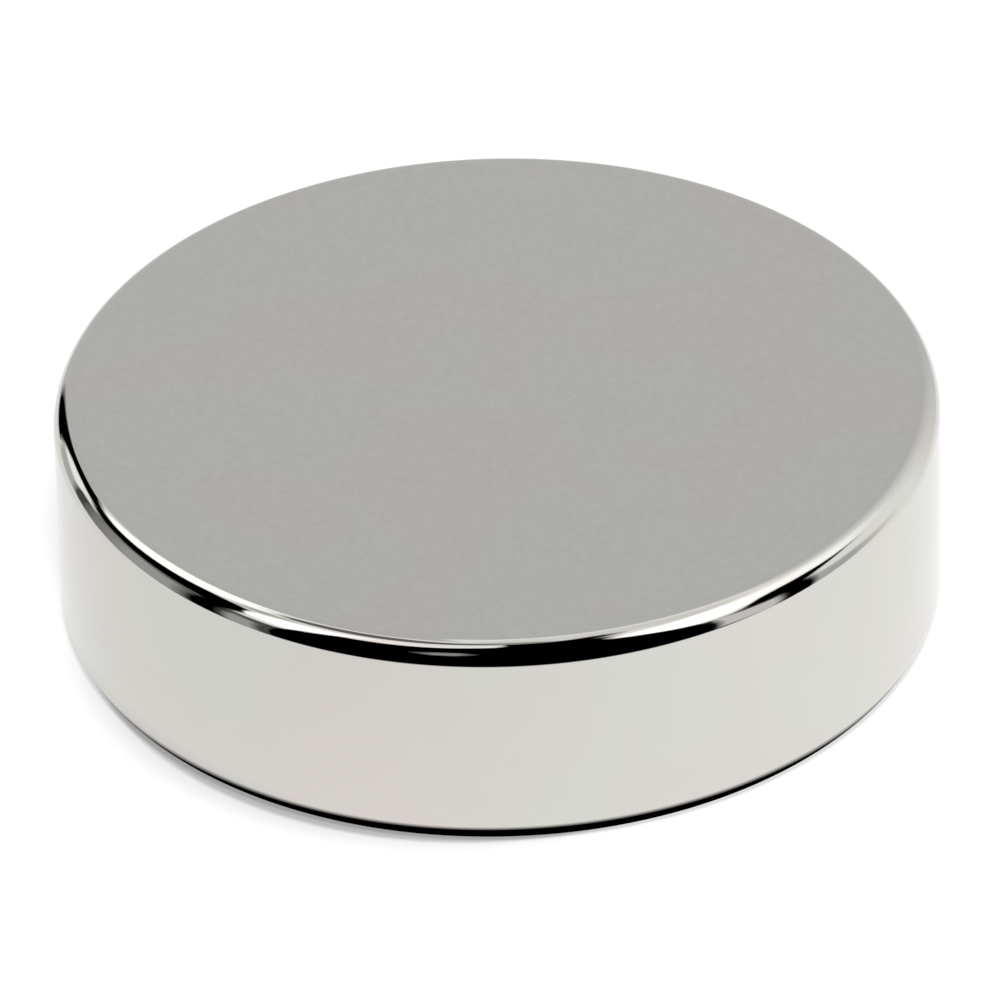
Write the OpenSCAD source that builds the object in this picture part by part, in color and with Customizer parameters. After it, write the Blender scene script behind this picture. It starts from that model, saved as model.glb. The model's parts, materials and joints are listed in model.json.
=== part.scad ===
// Plain disc magnet: a short cylinder ground flat on both pole faces, with a
// tumbled, rounded edge round each face. It is turned about +Z and stands on its
// lower pole face, with the origin at that face's centre. All sizes are in mm.

/* [Disc] */
// Diameter across the straight side wall
disc_d = 30; // [10:0.5:80]
// Thickness from one pole face to the other
disc_t = 8; // [3:0.5:30]

/* [Rounded edge] */
// Radius of the edge between the side wall and each pole face
edge_r = 0.8; // [0.2:0.05:1.4]

/* [Hidden] */

// Radius of the straight side wall
wall_r = disc_d / 2;
// Radius of the flat part of each pole face
face_r = wall_r - edge_r;
// Heights at which the straight side wall starts and ends
wall_z = [edge_r, disc_t - edge_r];

// Segments in one full turn of the disc and of the rounded edge
turn_fn = 256;
edge_fn = 96;

// Bright nickel plating
nickel = [0.68, 0.68, 0.66];

// Half of the disc's cross-section, with the axis at x = 0
module half_section() {
    square([face_r, disc_t]);
    translate([0, wall_z[0]])
        square([wall_r, wall_z[1] - wall_z[0]]);
    for (z = wall_z)
        translate([face_r, z])
            circle(r = edge_r, $fn = edge_fn);
}

module disc_magnet() {
    color(nickel)
        rotate_extrude($fn = turn_fn)
            half_section();
}

disc_magnet();
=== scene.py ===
"""The looks of the disc magnet: a nickel-plated disc in a small white studio.

Lengths are in metres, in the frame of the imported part: the origin is the centre of
the lower pole face, +Z is up, and the camera looks along +Y. An azimuth of 0 points
at the camera's side of the disc (-Y), and a positive one is to its right (+X).
"""
import bpy
import bmesh
import json
import math
from mathutils import Matrix, Vector


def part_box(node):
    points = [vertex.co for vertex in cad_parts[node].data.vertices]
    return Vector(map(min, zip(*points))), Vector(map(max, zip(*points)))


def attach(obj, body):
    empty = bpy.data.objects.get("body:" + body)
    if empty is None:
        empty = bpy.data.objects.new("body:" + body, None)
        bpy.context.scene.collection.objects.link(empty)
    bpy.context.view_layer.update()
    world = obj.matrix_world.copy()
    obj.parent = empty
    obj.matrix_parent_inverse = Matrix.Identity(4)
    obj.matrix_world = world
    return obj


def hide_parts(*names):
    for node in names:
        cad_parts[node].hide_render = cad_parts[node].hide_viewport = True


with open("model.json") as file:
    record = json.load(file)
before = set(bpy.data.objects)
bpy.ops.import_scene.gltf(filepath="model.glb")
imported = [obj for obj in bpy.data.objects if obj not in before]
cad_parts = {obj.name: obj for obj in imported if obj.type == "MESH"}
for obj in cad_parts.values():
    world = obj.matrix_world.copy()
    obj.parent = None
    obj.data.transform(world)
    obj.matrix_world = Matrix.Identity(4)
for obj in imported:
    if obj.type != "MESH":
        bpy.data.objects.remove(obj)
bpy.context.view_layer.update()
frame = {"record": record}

MM = 0.001

# Sizes of the disc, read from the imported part
NODE = "disc_magnet"
LOW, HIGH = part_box(NODE)
MOUNTS = {mount["name"]: mount for mount in frame["record"]["mounts"]}
WALL_RADIUS = MOUNTS["side_wall"]["dims"]["r_mm"] * MM
WALL_HEIGHT = MOUNTS["side_wall"]["dims"]["length_mm"] * MM
THICKNESS = HIGH.z - LOW.z
EDGE_RADIUS = (THICKNESS - WALL_HEIGHT) / 2
FACE_RADIUS = WALL_RADIUS - EDGE_RADIUS


def direction(azimuth, elevation):
    """Unit vector from the disc towards an azimuth and elevation in degrees."""
    a, e = math.radians(azimuth), math.radians(elevation)
    return Vector((math.sin(a) * math.cos(e), -math.cos(a) * math.cos(e), math.sin(e)))


def link_object(name, data):
    piece = bpy.data.objects.new(name, data)
    bpy.context.scene.collection.objects.link(piece)
    return piece


def empty_material(name):
    """A material with an output node alone, and its nodes and links."""
    material = bpy.data.materials.new(name)
    material.use_nodes = True
    nodes, links = material.node_tree.nodes, material.node_tree.links
    nodes.clear()
    return material, nodes, links, nodes.new("ShaderNodeOutputMaterial")


def math_node(nodes, links, operation, first, second):
    """A Math node's value; each input is another node's socket or a plain number."""
    node = nodes.new("ShaderNodeMath")
    node.operation = operation
    for socket, given in zip(node.inputs, (first, second)):
        if isinstance(given, (int, float)):
            socket.default_value = given
        else:
            links.new(given, socket)
    return node.outputs["Value"]


def map_range(nodes, links, value, from_range, to_range, interpolation="LINEAR"):
    node = nodes.new("ShaderNodeMapRange")
    node.interpolation_type = interpolation
    node.inputs["From Min"].default_value, node.inputs["From Max"].default_value = from_range
    node.inputs["To Min"].default_value, node.inputs["To Max"].default_value = to_range
    links.new(value, node.inputs["Value"])
    return node.outputs["Result"]


def distance_from_axis(nodes, links, position, centre=(0, 0)):
    """Distance from the disc's axis, or from an upright line through another centre."""
    flat = nodes.new("ShaderNodeVectorMath")
    flat.operation = "MULTIPLY_ADD"
    flat.inputs[1].default_value = (1, 1, 0)
    flat.inputs[2].default_value = (-centre[0], -centre[1], 0)
    links.new(position, flat.inputs[0])
    length = nodes.new("ShaderNodeVectorMath")
    length.operation = "LENGTH"
    links.new(flat.outputs["Vector"], length.inputs[0])
    return length.outputs["Value"]


# Camera, fitted to the disc's outlines in the photograph
CAMERA_ELEVATION = 34.306
CAMERA_DISTANCE = 30 * WALL_RADIUS
CAMERA_PAN = 0.0041
CAMERA_TILT = -0.4613
CAMERA_ROLL = -1.5241
FOCAL_PIXELS = 13308.5
IMAGE_PIXELS = 1000
SENSOR_MM = 36.0
CLIP_START = CAMERA_DISTANCE / 100
CLIP_END = CAMERA_DISTANCE * 10


def make_camera():
    data = bpy.data.cameras.new("camera")
    data.sensor_width = SENSOR_MM
    data.lens = FOCAL_PIXELS / IMAGE_PIXELS * SENSOR_MM
    data.clip_start = CLIP_START
    data.clip_end = CLIP_END
    target = Vector((0, 0, THICKNESS))
    away = direction(0, CAMERA_ELEVATION)
    level_right = Vector((1, 0, 0))
    level_up = level_right.cross(-away)
    pan, tilt = math.radians(CAMERA_PAN), math.radians(CAMERA_TILT)
    forward = (-away + pan * level_right + tilt * level_up).normalized()
    right = forward.cross(Vector((0, 0, 1))).normalized()
    up = right.cross(forward)
    rolled = Matrix((right, up, -forward)).transposed()
    rolled = rolled @ Matrix.Rotation(math.radians(CAMERA_ROLL), 3, "Z")
    camera = link_object("camera", data)
    camera.matrix_world = Matrix.Translation(target + away * CAMERA_DISTANCE) @ rolled.to_4x4()
    bpy.context.scene.camera = camera


# Light that falls on the table: a weak even sky and one lamp at the camera's side, so
# that the shadow falls behind the disc. Together they light it a little above white.
SKY_LEVEL = 0.22
LAMP_LEVEL = 0.92
LAMP_AZIMUTH = 3
LAMP_ELEVATION = 58
LAMP_DISTANCE = 1.20
LAMP_WIDTH = 0.22


def make_world():
    """White to the eye and to the metal, and SKY_LEVEL to the table."""
    world = bpy.data.worlds.new("white_studio")
    world.use_nodes = True
    nodes, links = world.node_tree.nodes, world.node_tree.links
    path = nodes.new("ShaderNodeLightPath")
    strength = map_range(nodes, links, path.outputs["Is Diffuse Ray"], (0, 1), (1, SKY_LEVEL))
    background = nodes["Background"]
    background.inputs["Color"].default_value = (1, 1, 1, 1)
    links.new(strength, background.inputs["Strength"])
    bpy.context.scene.world = world


def make_lamp():
    data = bpy.data.lights.new("lamp", "AREA")
    data.shape = "DISK"
    data.size = LAMP_WIDTH
    falloff = math.sin(math.radians(LAMP_ELEVATION)) / LAMP_DISTANCE ** 2
    data.energy = LAMP_LEVEL * math.pi ** 2 / falloff
    lamp = link_object("lamp", data)
    towards = direction(LAMP_AZIMUTH, LAMP_ELEVATION)
    lamp.location = towards * LAMP_DISTANCE
    lamp.rotation_euler = towards.to_track_quat("Z", "Y").to_euler()
    lamp.visible_camera = False
    lamp.visible_glossy = False


# Table: round and white, and centred TABLE_BACK behind the disc. Its rim fades into the
# white world. TABLE_FILL of what shows of it is plain light, which softens its shadows. The
# metal sees it a little greyer, a painted dimming of the table's reflection, and least so
# round GLOW_CENTRE, where a painted pool of light brightens that reflection. Inside CONTACT_SHADOWS
# the metal sees it black: a painted contact shadow, which shows as a dark line at the disc's
# foot that is widest at the camera's side. MIRRORED_FILL makes the plain light there as strong
# as the lamp and the sky make the table. SHADES are painted soft shadows where the disc meets
# the table, towards the camera's left, which the camera and the metal both see. Each row of
# the two is a centre, the radii where the dark starts and stops fading, and the white left inside.
TABLE_WHITE = 0.96
TABLE_FILL = 0.7
MIRRORED_FILL = 1.16
TABLE_RADIUS = 46 * MM
TABLE_BACK = 10 * MM
TABLE_FEATHER = 4 * MM
TABLE_SEGMENTS = 96
GLOW_CENTRE = (22 * MM, -8 * MM)
GLOW_REACH = (8 * MM, 38 * MM)
GLOW_WHITE = (0.895, 0.795)
CONTACT_SHADOWS = (
    ((0, -1.45 * MM), (WALL_RADIUS - 1.05 * MM, WALL_RADIUS - 0.45 * MM), 0),
    ((0, 0.7 * MM), (FACE_RADIUS, FACE_RADIUS + 0.4 * MM), 0),
)
SHADES = (
    ((-0.85 * MM, -1.3 * MM), (WALL_RADIUS - 1.7 * MM, WALL_RADIUS - 1.42 * MM), 0.62),
    ((-1.8 * MM, -2.0 * MM), (WALL_RADIUS - 3.0 * MM, WALL_RADIUS - 1.3 * MM), 0.78),
)


def darkened(nodes, links, position, rows, interpolation):
    """1 on the open table, less inside the rows' circles, where it paints shade on the table."""
    share = 1.0
    for centre, reach, darkest in rows:
        distance = distance_from_axis(nodes, links, position, centre)
        ramp = map_range(nodes, links, distance, reach, (darkest, 1), interpolation)
        share = math_node(nodes, links, "MULTIPLY", share, ramp)
    return share


def table_material():
    material, nodes, links, out = empty_material("table_white")
    path = nodes.new("ShaderNodeLightPath")
    where = nodes.new("ShaderNodeTexCoord").outputs["Object"]
    # Painted light on the table: a pool of light round GLOW_CENTRE and a black contact shadow, which
    # mostly only the metal's reflection shows, and soft shades that all rays see.
    glow_radius = distance_from_axis(nodes, links, where, GLOW_CENTRE)
    glow = map_range(nodes, links, glow_radius, GLOW_REACH, GLOW_WHITE)
    contact_shadow = darkened(nodes, links, where, CONTACT_SHADOWS, "LINEAR")
    shade = darkened(nodes, links, where, SHADES, "SMOOTHSTEP")
    mirrored = math_node(nodes, links, "MULTIPLY", contact_shadow, glow)
    seen = math_node(nodes, links, "MULTIPLY", path.outputs["Is Camera Ray"], TABLE_WHITE)
    unshaded = math_node(nodes, links, "MAXIMUM", mirrored, seen)
    white = math_node(nodes, links, "MULTIPLY", unshaded, shade)
    paper = nodes.new("ShaderNodeBsdfDiffuse")
    links.new(white, paper.inputs["Color"])
    fill = nodes.new("ShaderNodeEmission")
    # The painted shades darken the table's plain light too.
    mirrored_fill = math_node(nodes, links, "MULTIPLY", mirrored, MIRRORED_FILL)
    plain = math_node(nodes, links, "MAXIMUM", mirrored_fill, path.outputs["Is Camera Ray"])
    strength = math_node(nodes, links, "MULTIPLY", plain, shade)
    links.new(strength, fill.inputs["Strength"])
    filled = nodes.new("ShaderNodeMixShader")
    filled.inputs["Fac"].default_value = TABLE_FILL
    links.new(paper.outputs["BSDF"], filled.inputs[1])
    links.new(fill.outputs["Emission"], filled.inputs[2])
    feather = nodes.new("ShaderNodeAttribute")
    feather.attribute_name = "feather"
    clear = nodes.new("ShaderNodeBsdfTransparent")
    mix = nodes.new("ShaderNodeMixShader")
    links.new(feather.outputs["Fac"], mix.inputs["Fac"])
    links.new(clear.outputs["BSDF"], mix.inputs[1])
    links.new(filled.outputs["Shader"], mix.inputs[2])
    links.new(mix.outputs["Shader"], out.inputs["Surface"])
    return material


def make_table():
    shape = bmesh.new()
    layer = shape.verts.layers.float.new("feather")
    rings = []
    for radius, solid in ((TABLE_RADIUS - TABLE_FEATHER, 1.0), (TABLE_RADIUS, 0.0)):
        ring = ring_of(shape, radius, 0, TABLE_SEGMENTS)
        for vert in ring:
            vert[layer] = solid
        rings.append(ring)
    shape.faces.new(rings[0])
    join_rings(shape, rings[1], rings[0], True)
    bmesh.ops.translate(shape, verts=shape.verts, vec=(0, TABLE_BACK, 0))
    mesh = bpy.data.meshes.new("table")
    shape.to_mesh(mesh)
    shape.free()
    mesh.materials.append(table_material())
    link_object("table", mesh)


# Cards round the disc, which only its reflections show. Mirror-sharp reflections, which
# are those of the rounded edges and the wall, show RIM_CARDS. Blurred ones, which are
# those of the satin pole faces, show the even grey dome.
CARD_DISTANCE = 0.6
CARD_GAP = 0.004
CARD_STEP = 4.0
SOFT_SHARE_MOST = 0.4
ZENITH = 90
GREY_TINT = (0.963, 0.988, 0.989)
TINTED_CARDS = ("back_panel", "grey_dome")

# A card's outline is a list of (azimuth, lowest elevation, highest elevation) in degrees.
# It fades in from its first azimuth to its second, out from the last but one to the last,
# and over `soft` degrees at its lower and upper borders. Later cards hide earlier ones.
DOME = ("grey_dome", 0.63, 10, [(-190, 4, 90), (-180, 4, 90), (180, 4, 90), (190, 4, 90)])
RIM_CARDS = [
    ("back_panel", 0.62, 6,
     [(118, -25, 60), (156, -25, 62), (186, -25, 66), (198, -25, 82), (214, -25, 76),
      (222, -25, 70)]),
    ("back_arc", 0.85, 5,
     [(76, 64, 72), (92, 62, 77), (120, 60, 82), (150, 65, 86), (165, 68, 87), (184, 71, 87),
      (200, 78, 85)]),
    ("zenith_cap", 0.38, 4, [(-190, 83, 90), (-180, 83, 90), (180, 83, 90), (190, 83, 90)]),
    ("left_ceiling", 0.16, 3,
     [(-136, 78, 90), (-126, 66, 90), (-118, 63, 90), (-100, 63, 90), (-84, 69, 90), (-70, 75, 90),
      (-52, 80, 90), (-25, 83, 90)]),
    ("right_shade", 0.0, 4,
     [(-4, 78, 86), (6, 74, 88), (50, 71, 88), (72, 73, 86), (90, 75, 84), (122, 77, 83)]),
    ("left_softbox", 1.5, 4,
     [(-145, 50, 62), (-140, 47, 64), (-136, 41, 65), (-132, 34, 65), (-124, 31, 65), (-118, 32, 65),
      (-111, 38, 65), (-104, 46, 65), (-97, 54, 65)]),
    ("left_bridge", 0.55, 4, [(-104, 53, 65), (-97, 53, 65), (-86, 50, 64), (-78, 50, 64)]),
    ("left_base", 0.10, 4, [(-121, -25, 24), (-115, -25, 26), (-58, -25, 26), (-52, -25, 26)]),
    ("right_base", 0.04, 4, [(46, -25, 24), (50, -25, 26), (77, -25, 26), (84, -25, 26)]),
    ("front_flag", 0.0, 2,
     [(-59, -40, 24), (-56, -40, 28), (-54, -40, 55), (-45, -40, 59), (-30, -40, 64), (-15, -40, 70),
      (-4, -40, 73), (2, -40, 80), (6, -40, 86), (34, -40, 86), (50, -40, 80), (54, -40, 60)]),
    ("left_front_softbox", 1.6, 5,
     [(-82, 46, 62), (-75, 37, 64), (-68, 31, 69), (-60, 29, 72), (-55, 30, 74), (-52, 50, 74)]),
    ("left_front_arc", 1.15, 5,
     [(-60, 58, 76), (-54, 55, 76), (-44, 57, 76), (-34, 61, 78), (-22, 69, 81), (-8, 70, 82),
      (4, 74, 80)]),
    ("right_softbox_tail", 1.4, 12,
     [(76, 36, 70), (86, 36, 69), (96, 30, 68), (104, 28, 66), (130, 32, 60)]),
    ("right_softbox", 1.6, 6,
     [(37, 57, 64), (42, 48, 68), (46, 36, 69), (51, 26, 71), (60, 28, 71), (68, 33, 71), (76, 39, 70),
      (86, 42, 69), (100, 44, 66)]),
    ("front_blob", 0.36, 5, [(-25, 34, 39), (-18, 28, 45), (-12, 29, 46), (-6, 35, 41)]),
    ("right_grey", 0.52, 10, [(77, -25, 10), (82, -25, 16), (92, -25, 12), (112, -25, 0)]),
    ("right_patch", 0.75, 6,
     [(51, -14, 24), (54, -16, 28), (60, -18, 22), (67, -20, 16), (71, -20, 14)]),
    ("right_bar", 0.0, 3,
     [(57, 20, 25), (64, 17, 31), (72, 14, 39), (80, 20, 41), (88, 24, 39), (97, 27, 34),
      (106, 25, 31)]),
    ("right_pillar", 0.0, 2, [(69, -25, 30), (72, -25, 32), (78, -25, 32), (81, -25, 30)]),
    ("left_patch", 0.42, 6, [(-70, -22, 14), (-67, -22, 18), (-62, -22, 16), (-59, -20, 12)]),
    ("left_arch", 0.0, 3,
     [(-149, 21, 30), (-146, 19, 35), (-139, 20, 39), (-132, 23, 36), (-126, 22, 34), (-120, 19, 34),
      (-113, 18, 38), (-106, 20, 44), (-98, 21, 51), (-88, 22, 52), (-79, 22, 50), (-72, 22, 38),
      (-68, 22, 32)]),
    ("left_pillar", 0.0, 2, [(-81, -25, 32), (-78, -25, 38), (-72, -25, 38), (-69, -25, 30)]),
    ("left_panel_dim", 0.26, 5, [(-120, -18, 17), (-115, -18, 20), (-108, -18, 22), (-98, -16, 20)]),
    ("left_panel", 0.42, 7,
     [(-112, -20, 20), (-100, -20, 23), (-95, -20, 23), (-86, -18, 22), (-79, -18, 20)]),
    ("left_back_pillar", 0.0, 3,
     [(-150, -8, 24), (-147, -8, 30), (-142, -8, 30), (-138, -6, 28), (-135, 8, 26)]),
    ("left_foot", 0.54, 5, [(-139, -16, 10), (-135, -18, 12), (-127, -18, 10), (-123, -16, 8)]),
    ("left_spot", 0.08, 4, [(-127, -10, 8), (-123, -13, 16), (-119, -13, 17), (-114, -10, 10)]),
    ("left_strip", 1.15, 4, [(-138, 9, 21), (-134, 8, 24), (-127, 8, 26), (-122, 12, 26)]),
]


def card_material(name, level, tint, mirror_only):
    """Plain light of one level, shown by mirror-sharp reflections or by blurred ones."""
    material, nodes, links, out = empty_material(name)
    path = nodes.new("ShaderNodeLightPath")
    sharp = path.outputs["Is Singular Ray"]
    shown = sharp if mirror_only else math_node(nodes, links, "SUBTRACT", 1, sharp)
    feather = nodes.new("ShaderNodeAttribute")
    feather.attribute_name = "feather"
    solid = math_node(nodes, links, "MULTIPLY", feather.outputs["Fac"], shown)
    clear = nodes.new("ShaderNodeBsdfTransparent")
    glow = nodes.new("ShaderNodeEmission")
    glow.inputs["Color"].default_value = (*tint, 1)
    glow.inputs["Strength"].default_value = level
    mix = nodes.new("ShaderNodeMixShader")
    links.new(solid, mix.inputs["Fac"])
    links.new(clear.outputs["BSDF"], mix.inputs[1])
    links.new(glow.outputs["Emission"], mix.inputs[2])
    links.new(mix.outputs["Shader"], out.inputs["Surface"])
    return material


def card_columns(outline):
    """(azimuth, low, high, solid) every CARD_STEP degrees or so along a card's outline."""
    solid = [0.0] + [1.0] * (len(outline) - 2) + [0.0]
    marks = [(*mark, share) for mark, share in zip(outline, solid)]
    columns = [marks[0]]
    for here, there in zip(marks, marks[1:]):
        count = max(1, math.ceil((there[0] - here[0]) / CARD_STEP))
        for i in range(1, count + 1):
            columns.append([a + (b - a) * i / count for a, b in zip(here, there)])
    return columns


def card_rows(low, high, soft, count):
    """(elevation, solid) up one column: faded ends with `count` even strips between them."""
    soft = min(soft, (high - low) * SOFT_SHARE_MOST)
    top = high if high >= ZENITH else high - soft
    rows = [(low, 0.0)]
    for i in range(count + 1):
        rows.append((low + soft + (top - low - soft) * i / count, 1.0))
    if high < ZENITH:
        rows.append((high, 0.0))
    return rows


def make_card(order, card, mirror_only):
    name, level, soft, outline = card
    tint = GREY_TINT if name in TINTED_CARDS else (1, 1, 1)
    distance = CARD_DISTANCE - order * CARD_GAP
    centre = Vector((0, 0, THICKNESS))
    height = max(high - low for azimuth, low, high in outline)
    strips = max(1, math.ceil(height / CARD_STEP))
    shape = bmesh.new()
    layer = shape.verts.layers.float.new("feather")
    grid = []
    for azimuth, low, high, column_solid in card_columns(outline):
        column = []
        for elevation, row_solid in card_rows(low, high, soft, strips):
            vert = shape.verts.new(centre + direction(azimuth, elevation) * distance)
            vert[layer] = column_solid * row_solid
            column.append(vert)
        grid.append(column)
    for here, there in zip(grid, grid[1:]):
        for j in range(len(here) - 1):
            shape.faces.new((here[j], there[j], there[j + 1], here[j + 1]))
    mesh = bpy.data.meshes.new(name)
    shape.to_mesh(mesh)
    shape.free()
    mesh.materials.append(card_material(name, level, tint, mirror_only))
    piece = link_object(name, mesh)
    piece.visible_camera = False
    piece.visible_diffuse = False
    piece.visible_shadow = False


def make_cards():
    for order, card in enumerate(RIM_CARDS):
        make_card(order, card, True)
    make_card(len(RIM_CARDS), DOME, False)


# Disc mesh
TURN_SEGMENTS = 512
EDGE_SEGMENTS = 24
WALL_RINGS = 6
SUPPORT = 0.05 * MM
FACE_RING_GROWTH = 2.4
INNERMOST_SEGMENTS = 8


def ring_of(shape, radius, height, segments):
    ring = []
    for i in range(segments):
        turn = 2 * math.pi * i / segments
        ring.append(shape.verts.new((radius * math.cos(turn), radius * math.sin(turn), height)))
    return ring


def join_rings(shape, outer, inner, upward):
    """Faces between two rings of one count, or between a ring and one with half its count."""
    n = len(outer)
    faces = []
    if len(inner) == n:
        faces += [(outer[i], outer[(i + 1) % n], inner[(i + 1) % n], inner[i]) for i in range(n)]
    else:
        for i in range(len(inner)):
            a, b, c = outer[2 * i], outer[2 * i + 1], outer[(2 * i + 2) % n]
            d, e = inner[i], inner[(i + 1) % len(inner)]
            faces += [(a, b, d), (b, c, e), (b, e, d)]
    for face in faces:
        shape.faces.new(face if upward else face[::-1])


def half_profile():
    """(radius, height) from the lower face's support ring, round both edges, to the upper one."""
    points = [(FACE_RADIUS - SUPPORT, 0.0)]
    for i in range(EDGE_SEGMENTS + 1):
        turn = math.radians(90) * i / EDGE_SEGMENTS
        points.append((FACE_RADIUS + EDGE_RADIUS * math.sin(turn),
                       EDGE_RADIUS - EDGE_RADIUS * math.cos(turn)))
    lower = list(points)
    for i in range(1, WALL_RINGS):
        points.append((WALL_RADIUS, EDGE_RADIUS + WALL_HEIGHT * i / WALL_RINGS))
    upper = [(radius, THICKNESS - height) for radius, height in lower]
    return points + upper[::-1]


def face_rings():
    """(radius, segments) of the rings that fill a pole face, thinning out inwards."""
    rings = []
    segments, radius = TURN_SEGMENTS, FACE_RADIUS - SUPPORT
    while segments > INNERMOST_SEGMENTS:
        radius -= 2 * math.pi * radius / segments * FACE_RING_GROWTH
        segments //= 2
        rings.append((radius, segments))
    return rings


def true_normal(point):
    """The disc's exact outward normal at a point of its surface."""
    flat = Vector((point.x, point.y, 0))
    core = flat.normalized() * min(flat.length, FACE_RADIUS)
    core.z = min(max(point.z, EDGE_RADIUS), THICKNESS - EDGE_RADIUS)
    return (point - core).normalized()


def make_disc():
    shape = bmesh.new()
    rings = [ring_of(shape, radius, height, TURN_SEGMENTS) for radius, height in half_profile()]
    for lower, upper in zip(rings, rings[1:]):
        join_rings(shape, lower, upper, True)
    for height, outermost, upward in ((0.0, rings[0], False), (THICKNESS, rings[-1], True)):
        outer = outermost
        for radius, segments in face_rings():
            inner = ring_of(shape, radius, height, segments)
            join_rings(shape, outer, inner, upward)
            outer = inner
        shape.faces.new(outer if upward else outer[::-1])
    bmesh.ops.recalc_face_normals(shape, faces=shape.faces)
    for face in shape.faces:
        face.smooth = True
    mesh = bpy.data.meshes.new("nickel_disc")
    shape.to_mesh(mesh)
    shape.free()
    mesh.normals_split_custom_set_from_vertices([true_normal(vert.co) for vert in mesh.vertices])
    return link_object("nickel_disc", mesh)


# Nickel plating: satin on the ground pole faces, mirror-bright on the edges and the wall
NICKEL_WARM = (0.694, 0.658, 0.628)
NICKEL_COOL = (0.676, 0.670, 0.631)
CLOUD_SIZE = 7 * MM
CLOUD_DETAIL = 2.0
CLOUD_EDGES = (0.4, 0.6)
GRAIN_SIZE = 0.22 * MM
GRAIN_DETAIL = 3.0
GRAIN_HEIGHT = 0.0006 * MM
GRAIN_SHADE = 0.03
RIPPLE_SIZE = 2.5 * MM
RIPPLE_DETAIL = 1.0
RIPPLE_HEIGHT = 0.0012 * MM
NOISE_SPAN = (0.3, 0.7)
SATIN_ROUGHNESS = 0.34
SATIN_SWING = 0.03
MASK_START = FACE_RADIUS - 0.02 * MM
MASK_END = FACE_RADIUS + 0.10 * MM


def noise_node(nodes, links, position, size, detail):
    node = nodes.new("ShaderNodeTexNoise")
    node.inputs["Scale"].default_value = 1 / size
    node.inputs["Detail"].default_value = detail
    links.new(position, node.inputs["Vector"])
    return node.outputs["Fac"]


def bump_node(nodes, links, height, depth, below=None):
    node = nodes.new("ShaderNodeBump")
    node.inputs["Distance"].default_value = depth
    links.new(height, node.inputs["Height"])
    if below:
        links.new(below, node.inputs["Normal"])
    return node.outputs["Normal"]


def nickel_material():
    material, nodes, links, out = empty_material("nickel_plating")
    shader = nodes.new("ShaderNodeBsdfPrincipled")
    shader.inputs["Metallic"].default_value = 1.0
    links.new(shader.outputs["BSDF"], out.inputs["Surface"])
    where = nodes.new("ShaderNodeTexCoord").outputs["Object"]
    radius = distance_from_axis(nodes, links, where)
    satin = map_range(nodes, links, radius, (MASK_START, MASK_END), (1, 0), "SMOOTHSTEP")
    clouds = noise_node(nodes, links, where, CLOUD_SIZE, CLOUD_DETAIL)
    grain = noise_node(nodes, links, where, GRAIN_SIZE, GRAIN_DETAIL)
    ripple = noise_node(nodes, links, where, RIPPLE_SIZE, RIPPLE_DETAIL)

    tint = nodes.new("ShaderNodeMix")
    tint.data_type = "RGBA"
    tint.inputs["A"].default_value = (*NICKEL_WARM, 1)
    tint.inputs["B"].default_value = (*NICKEL_COOL, 1)
    cloud_share = map_range(nodes, links, clouds, CLOUD_EDGES, (0, 1), "SMOOTHSTEP")
    links.new(cloud_share, tint.inputs["Factor"])
    shade = map_range(nodes, links, grain, NOISE_SPAN, (1 - GRAIN_SHADE, 1 + GRAIN_SHADE))
    grained = nodes.new("ShaderNodeMix")
    grained.data_type = "FLOAT"
    grained.inputs["A"].default_value = 1.0
    links.new(satin, grained.inputs["Factor"])
    links.new(shade, grained.inputs["B"])
    colour = nodes.new("ShaderNodeVectorMath")
    colour.operation = "SCALE"
    links.new(tint.outputs["Result"], colour.inputs["Vector"])
    links.new(grained.outputs["Result"], colour.inputs["Scale"])
    links.new(colour.outputs["Vector"], shader.inputs["Base Color"])

    swing = (SATIN_ROUGHNESS - SATIN_SWING, SATIN_ROUGHNESS + SATIN_SWING)
    satin_rough = map_range(nodes, links, clouds, NOISE_SPAN, swing)
    rough = math_node(nodes, links, "MULTIPLY", satin, satin_rough)
    links.new(rough, shader.inputs["Roughness"])

    grain_height = math_node(nodes, links, "MULTIPLY", grain, satin)
    rippled = bump_node(nodes, links, ripple, RIPPLE_HEIGHT)
    normal = bump_node(nodes, links, grain_height, GRAIN_HEIGHT, rippled)
    links.new(normal, shader.inputs["Normal"])
    return material


make_camera()
make_world()
make_lamp()
make_table()
make_cards()

disc = make_disc()
disc.data.materials.append(nickel_material())
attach(disc, "root")
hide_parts(NODE)

bpy.context.scene.view_settings.view_transform = "Standard"
